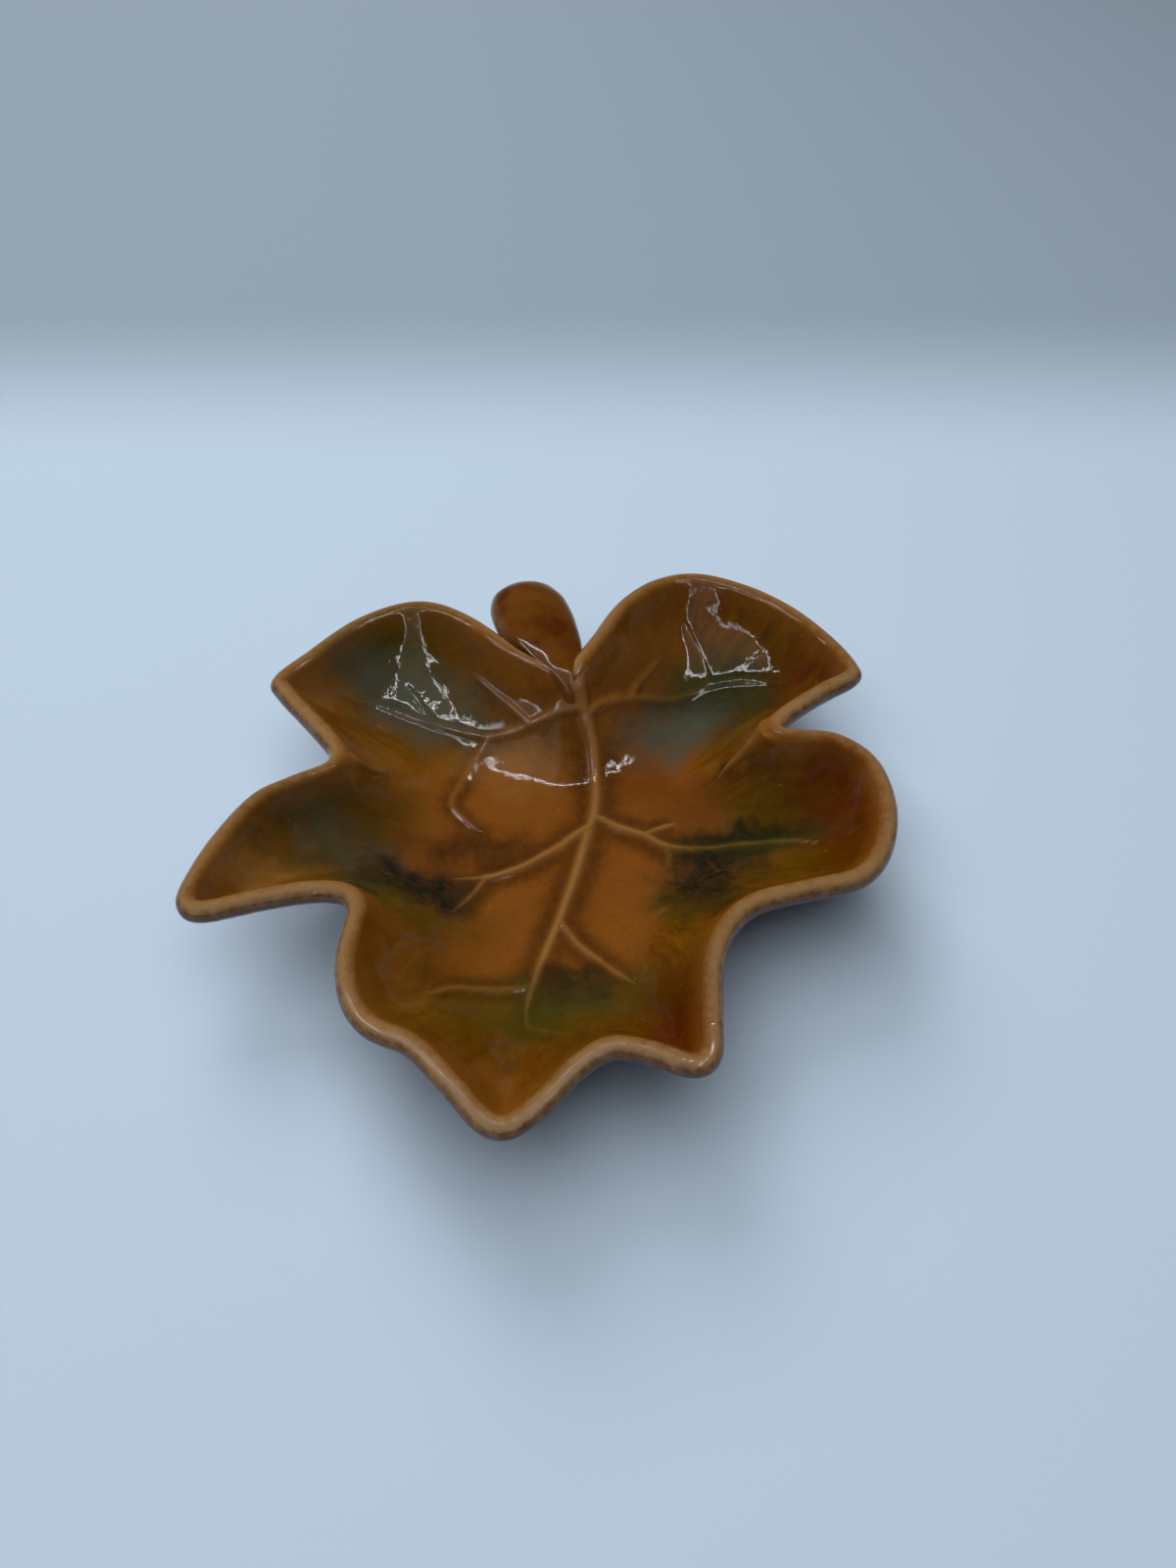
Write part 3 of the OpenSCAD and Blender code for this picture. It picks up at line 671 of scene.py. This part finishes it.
# %% Fields
RUN = 16
SWIRL = 7
STREAK_WAVES = 30
STREAK_SHORTENING = 0.12
glaze = Nodes(bpy.data.materials.new("leaf glaze"))
place = glaze.place()
drift = glaze.vector("SUBTRACT", glaze.noise(place, 0.11, 3, out=1), (0.5, 0.5, 0.5))
run = glaze.vector("MULTIPLY_ADD", drift, (RUN, RUN, RUN), place)
cloud = glaze.noise(place, 0.06, 4)
grain = glaze.noise(place, 0.5, 4, 0.6)
fine = glaze.noise(place, 2.4, 3, 0.6)
reach_note, inside_note = glaze.note("reach"), glaze.note("inside")
crest_note, side_note = glaze.note("crest"), glaze.note("side")
swirl = glaze.vector("MULTIPLY_ADD", drift, (SWIRL, SWIRL, SWIRL), place)
from_pole = glaze.vector("SUBTRACT", swirl, tuple((top_cap - CENTRE).tolist()))
from_pole = glaze.vector("MULTIPLY", from_pole, (1, 1, 0))
far = glaze.vector("LENGTH", from_pole, out="Value")
outward = glaze.add("ShaderNodeCombineXYZ", None, {"Z": far * STREAK_SHORTENING})
round_pole = glaze.vector("NORMALIZE", from_pole)
streak_place = glaze.vector("MULTIPLY_ADD", round_pole, (STREAK_WAVES, STREAK_WAVES, 0), outward)
streak = glaze.noise(streak_place, 0.9, 3, 0.55)
mottle = glaze.noise(run, 0.3, 5, 0.7).rising(0.35, 0.6)
print("leaf glaze:", len(glaze.tree.nodes), "nodes for its fields")

# %% [markdown]
# ## Colours laid over each other
# The layers are laid in the order in which they melt into each other: brown glaze, darker on the wall than
# on the floor, ochre streaks down the wall, deep brown where it gathers, and then the dabs, each with an
# edge that grain and streaks break up. Each layer is one mix node with a share from the fields, so that
# one can be changed without the others.

# %% Layers of the glaze
# In mm from the rim: where the wall turns into the floor, and how far clouds push that border about
FLOOR_FROM, FLOOR_TO = 10, 23
CLOUD_PUSH = 14
floor_share = (reach_note + (cloud - 0.5) * CLOUD_PUSH).rising(FLOOR_FROM, FLOOR_TO)
tone = glaze.mix(WALL_BROWN, FLOOR_BROWN, floor_share)
wall_share = 1 - floor_share
tone = glaze.mix(tone, OCHRE, streak.rising(0.48, 0.7) * wall_share * 0.6)
deep_share = side_note * 0.6 + streak.rising(0.5, 0.3) * wall_share * 0.4
tone = glaze.mix(tone, DEEP_BROWN, deep_share + (fine - 0.5) * 0.9 + (grain - 0.45) * 0.6)


def dab_share(x, y, long_half, wide_half, turn, softness):
    """1 inside an ellipse and fading to 0 between 1 - softness and 1 + softness of its half widths. How far
    out a point lies is pushed about by grain and streaks."""
    local = glaze.add("ShaderNodeMapping", {"vector_type": "TEXTURE"}, {
        "Vector": run, "Location": (x, y, 0), "Rotation": (0, 0, np.radians(turn)),
        "Scale": (long_half, wide_half, LEAF_W)})
    away = glaze.vector("LENGTH", local, out="Value") + (grain - 0.5) * 0.5 + (streak - 0.5) * 0.15
    return away.rising(1 + softness, 1 - softness)


def dabbed(tone, dabs):
    """Lays the dabs over the tone. Gives back the new tone and the largest share of any dab at a point."""
    covered = 0
    for *where, strength, dab in dabs:
        share = dab_share(*where) * (mottle * 0.25 + 0.75) * strength
        tone = glaze.mix(tone, dab, share)
        covered = share.most(covered)
    return tone, covered


tone, _ = dabbed(tone, BROWN_DABS)
tone, covered = dabbed(tone, OXIDE_AND_HAZE_DABS)
print("leaf glaze:", len(glaze.tree.nodes), "nodes with its dabs")

# %% [markdown]
# ## Where the glaze runs thin
# Glaze runs off edges before it sets. On the backs of the veins and on the rim the clay shows tan through
# it. An amber band follows under the rim, and the outer side is plain brown. Where the rim faces the viewer,
# the tan and the amber band are painted stronger, as painted light on the near rims.
# A few pale specks are burst bubbles. The gloss comes from a low roughness. Slow waves and a fine ripple
# bend the reflections, and as they are far too low to see from the side, bump is enough for them.

# %% Veins, rim and gloss
GLAZE_ROUGHNESS = 0.05
GLAZE_IOR = 1.5
# In mm: how high waves and ripple stand, where the band ends inside, and how far grain pushes it about
WAVES_H, RIPPLE_H = 0.8, 0.075
BAND_FROM, BAND_TO = 3, 10
GRAIN_PUSH = 4
# painted light: the rims that face the viewer get more tan and more of the amber band
near_rim_light = (glaze.note("front") + (cloud - 0.5)).rising(-0.7, 0.5)
vein_tone = glaze.mix(VEIN_TAN, PALE_GREEN, covered)
tone = glaze.mix(tone, vein_tone, crest_note * (0.85 - covered * 0.5))
ragged = inside_note + (grain - 0.5) * GRAIN_PUSH
tone = glaze.mix(tone, AMBER, ragged.rising(BAND_TO, BAND_FROM) * (near_rim_light * 0.25 + 0.4))
tone = glaze.mix(tone, TAN, (ragged - near_rim_light * 0.6 - 0.5).rising(3, -1) * (near_rim_light * 0.3 + 0.6))
tone = glaze.mix(tone, UNDER_BROWN, ragged.rising(0.6, -2.2))
speck = glaze.add("ShaderNodeTexVoronoi", {"feature": "F1"}, {"Vector": place, "Scale": 0.2}, out="Distance")
tone = glaze.mix(tone, TAN, speck.rising(0.05, 0.03) * 0.5)
waves = glaze.bump(glaze.noise(place, 0.1, 1), WAVES_H)
ripple = glaze.bump(glaze.noise(place, 0.5, 3), RIPPLE_H, {"Normal": waves})
shader = glaze.add("ShaderNodeBsdfPrincipled", None, {
    "Base Color": tone, "Roughness": GLAZE_ROUGHNESS, "IOR": GLAZE_IOR, "Normal": ripple})
glaze.cover(leaf, shader)

# %% [markdown]
# ## The stem's glaze
# The stem had the same dip, but it is redder, with slow clouds of two browns. Its edges are a little paler,
# where the glaze runs thin, and its head is painted paler, partly thin glaze and partly a painted sheen.
# The crease on its left, where it meets the rim, is painted dark, partly pooled glaze and partly painted
# shade, and its root takes on the brown of the wall it lies on. Two notes are enough for all of this: flank
# runs from -1 on its left to 1 on its right, and along from 0 at the root to 1 at the head.

# %% Stem glaze
STEM_AMBER = colour(100, 58, 12)
STEM_RED = colour(78, 34, 2)
CREASE_SHADE_AND_POOL = colour(52, 18, 2)
STEM_RIPPLE_H = 0.05
glaze = Nodes(bpy.data.materials.new("stalk glaze"))
place = glaze.place()
cloud = glaze.noise(place, 0.12, 3)
flank_note, along_note = glaze.note("flank") + (cloud - 0.5) * 0.1, glaze.note("along")
tone = glaze.mix(STEM_AMBER, STEM_RED, cloud.rising(0.35, 0.65))
# the paler edges are thin glaze; the paler head is partly thin glaze and partly a painted sheen
pale_edge_and_head_sheen = flank_note.rising(0.7, 0.97).most(flank_note.rising(-0.7, -0.97))
pale_edge_and_head_sheen = (pale_edge_and_head_sheen * along_note.rising(0.45, 0.65)).most(along_note.rising(0.72, 0.88))
tone = glaze.mix(tone, TAN, pale_edge_and_head_sheen * 0.4)
# painted shade and pooled glaze in the crease where the stem meets the rim
crease_shade_and_pool = flank_note.rising(-0.7, -0.95) * along_note.rising(0.6, 0.45)
tone = glaze.mix(tone, CREASE_SHADE_AND_POOL, crease_shade_and_pool * 0.9)
tone = glaze.mix(tone, WALL_BROWN, along_note.rising(0.4, 0.25))
ripple = glaze.bump(glaze.noise(place, 0.35, 2), STEM_RIPPLE_H)
shader = glaze.add("ShaderNodeBsdfPrincipled", None, {
    "Base Color": tone, "Roughness": GLAZE_ROUGHNESS + cloud * 0.05, "IOR": GLAZE_IOR, "Normal": ripple})
glaze.cover(stem, shader)

# %% [markdown]
# ## Bare clay
# The foot is the only place without glaze. Fired earthenware is buff and dull, with sand in it, so one
# fine noise does three things at once: it mixes two buffs, roughens the surface and pits it.

# %% Clay of the foot
BUFF = colour(214, 190, 158)
SAND = colour(176, 146, 112)
GRAIN_H = 0.1
clay = Nodes(bpy.data.materials.new("bare clay"))
grain = clay.noise(clay.place(), 1.5, 5, 0.7)
tone = clay.mix(BUFF, SAND, grain)
shader = clay.add("ShaderNodeBsdfPrincipled", None, {
    "Base Color": tone, "Roughness": 0.75 + grain * 0.2, "Normal": clay.bump(grain, GRAIN_H)})
clay.cover(foot, shader)

# %% [markdown]
# ## The table
# The dish stands on a plain sheet of pale blue card, which goes grey further back where less light falls on
# it. A flat square is enough, and two tones that blend along y are simpler than a lamp tuned for the fall.

# %% Floor
FLOOR_HALF = 3000
NEAR_CARD = colour(188, 206, 224)
FAR_CARD = colour(145, 160, 174)
NEAR_END, FAR_START = 160, 270
corners = np.array([(-1, -1, 0), (1, -1, 0), (1, 1, 0), (-1, 1, 0)])
floor = mesh_object("floor", corners * FLOOR_HALF, [(0, 1, 2, 3)])
paper = Nodes(bpy.data.materials.new("paper"))
along = paper.add("ShaderNodeSeparateXYZ", None, {0: paper.place()}, out="Y")
tone = paper.mix(NEAR_CARD, FAR_CARD, along.rising(NEAR_END, FAR_START))
shader = paper.add("ShaderNodeBsdfPrincipled", None, {
    "Base Color": tone, "Roughness": 0.9, "Specular IOR Level": 0.1})
paper.cover(floor, shader)

# %% [markdown]
# ## The room and its soft light
# A large soft lamp above gives the short, blurred shadow, and a second one behind lights the far side of
# the sheet and lets the shadow fall forwards. Neither shows in the glaze, where a lamp that large would
# be a white patch. The glaze mirrors the room instead: a gradient, grey at the horizon and darker overhead.

# %% Room
HORIZON = colour(104, 112, 120)
OVERHEAD = colour(50, 54, 58)
world = bpy.data.worlds.new("room")
bpy.context.scene.world = world
room = Nodes(world)
up = room.add("ShaderNodeSeparateXYZ", None, {0: room.add("ShaderNodeTexCoord", out="Generated")}, out="Z")
tone = room.mix(HORIZON, OVERHEAD, up.rising(0.02, 0.3))
back = room.add("ShaderNodeBackground", None, {"Color": tone, "Strength": 1})
room.add("ShaderNodeOutputWorld", None, {"Surface": back})


def soft_light(name, place, size, power):
    """A square lamp that looks at the dish: place and size in metres, power in watts."""
    lamp = bpy.data.lights.new(name, "AREA")
    lamp.size, lamp.energy = size, power
    holder = bpy.data.objects.new(name, lamp)
    holder.location = place
    holder.rotation_euler = (-Vector(place)).to_track_quat("-Z", "Y").to_euler()
    holder.visible_glossy = False
    bpy.context.scene.collection.objects.link(holder)
    print(f"{name} lamp: {power} W, {holder.location.length:.2f} m away")


soft_light("ceiling", place=(-0.1, -0.05, 0.8), size=1.0, power=6)
soft_light("back", place=(-0.4, 1.1, 1.0), size=0.8, power=12.5)

# %% [markdown]
# ## The ring of lamps
# What the glaze mirrors most is a square ring of small lamps, above and behind the viewer. It draws the
# dotted lines along the walls and veins. Inside it hangs a dim panel, for the milky sheen on the back
# lobes. Two nearly black cards lie low over the middle lobes, where the real glaze mirrors something dark.
# All of them are flat squares that show only in reflections, so they change no shadow and no colour.

# %% Ring of lamps
RING_MIDDLE = np.array([-60, -350])
RING_HALF = np.array([270, 405])
RING_Z = 430
DOT = 4.5
PITCH = 12
LAMP_STRENGTH = 120
PANEL_STRENGTH = 0.3
# Each card: middle, then half width and half depth
CARDS = np.array([((47, -13), (47, 33)), ((-54, -18), (38, 26))])
CARD_Z = 45
CARD_STRENGTH = 0.03


def glowing(name, quads, z, strength):
    """Quads (n x 4 x 2, in mm on the plan) that hang at a height z and show only in reflections."""
    points = np.concatenate([quads, np.full((len(quads), 4, 1), z)], axis=2).reshape(-1, 3)
    thing = mesh_object(name, points, np.arange(len(points)).reshape(-1, 4).tolist())
    for ray in ("camera", "diffuse", "shadow", "transmission"):
        setattr(thing, f"visible_{ray}", False)
    glow = Nodes(bpy.data.materials.new(name))
    shader = glow.add("ShaderNodeEmission", None, {"Color": (1, 1, 1, 1), "Strength": strength})
    glow.cover(thing, shader)


square = np.array([(-1, -1), (-1, 1), (1, 1), (1, -1)])
across, deep = (np.arange(-half, half, PITCH) for half in RING_HALF)
dots = np.concatenate([
    np.column_stack([across, np.full_like(across, -RING_HALF[1])]),
    np.column_stack([np.full_like(deep, RING_HALF[0]), deep]),
    np.column_stack([-across, np.full_like(across, RING_HALF[1])]),
    np.column_stack([np.full_like(deep, -RING_HALF[0]), -deep])])
glowing("lamps", (dots + RING_MIDDLE)[:, None] + square * DOT / 2, RING_Z, LAMP_STRENGTH)
glowing("panel", (RING_MIDDLE + square * (RING_HALF - PITCH))[None], RING_Z, PANEL_STRENGTH)
glowing("cards", CARDS[:, :1] + square * CARDS[:, 1:], CARD_Z, CARD_STRENGTH)
print("ring of lamps:", len(dots), "dots")

# %% [markdown]
# ## The camera
# The photograph was taken from about 280 mm away, with a phone held upright that looked down at 50 degrees.
# Blender measures the focal length against the longer side of the picture, so 1201 pixels of focal length
# on 1600 pixels of height become the same share of the sensor. The Standard view transform shows the
# colours as the shaders give them, without a film look.

# %% Camera
FOCAL_SHARE = 1201 / 1600
SENSOR = 36
CAMERA_PLACE = np.array([8.74, -164.34, 228.29])
CAMERA_TILT = 40
camera = bpy.data.objects.new("camera", bpy.data.cameras.new("camera"))
camera.data.sensor_width = SENSOR
camera.data.lens = SENSOR * FOCAL_SHARE
camera.location = CAMERA_PLACE * MM
camera.rotation_euler = (np.radians(CAMERA_TILT), 0, 0)
bpy.context.scene.collection.objects.link(camera)
bpy.context.scene.camera = camera
bpy.context.scene.view_settings.view_transform = "Standard"
print(f"camera: {camera.data.lens:.1f} mm lens, tilted {CAMERA_TILT} degrees up from straight down")
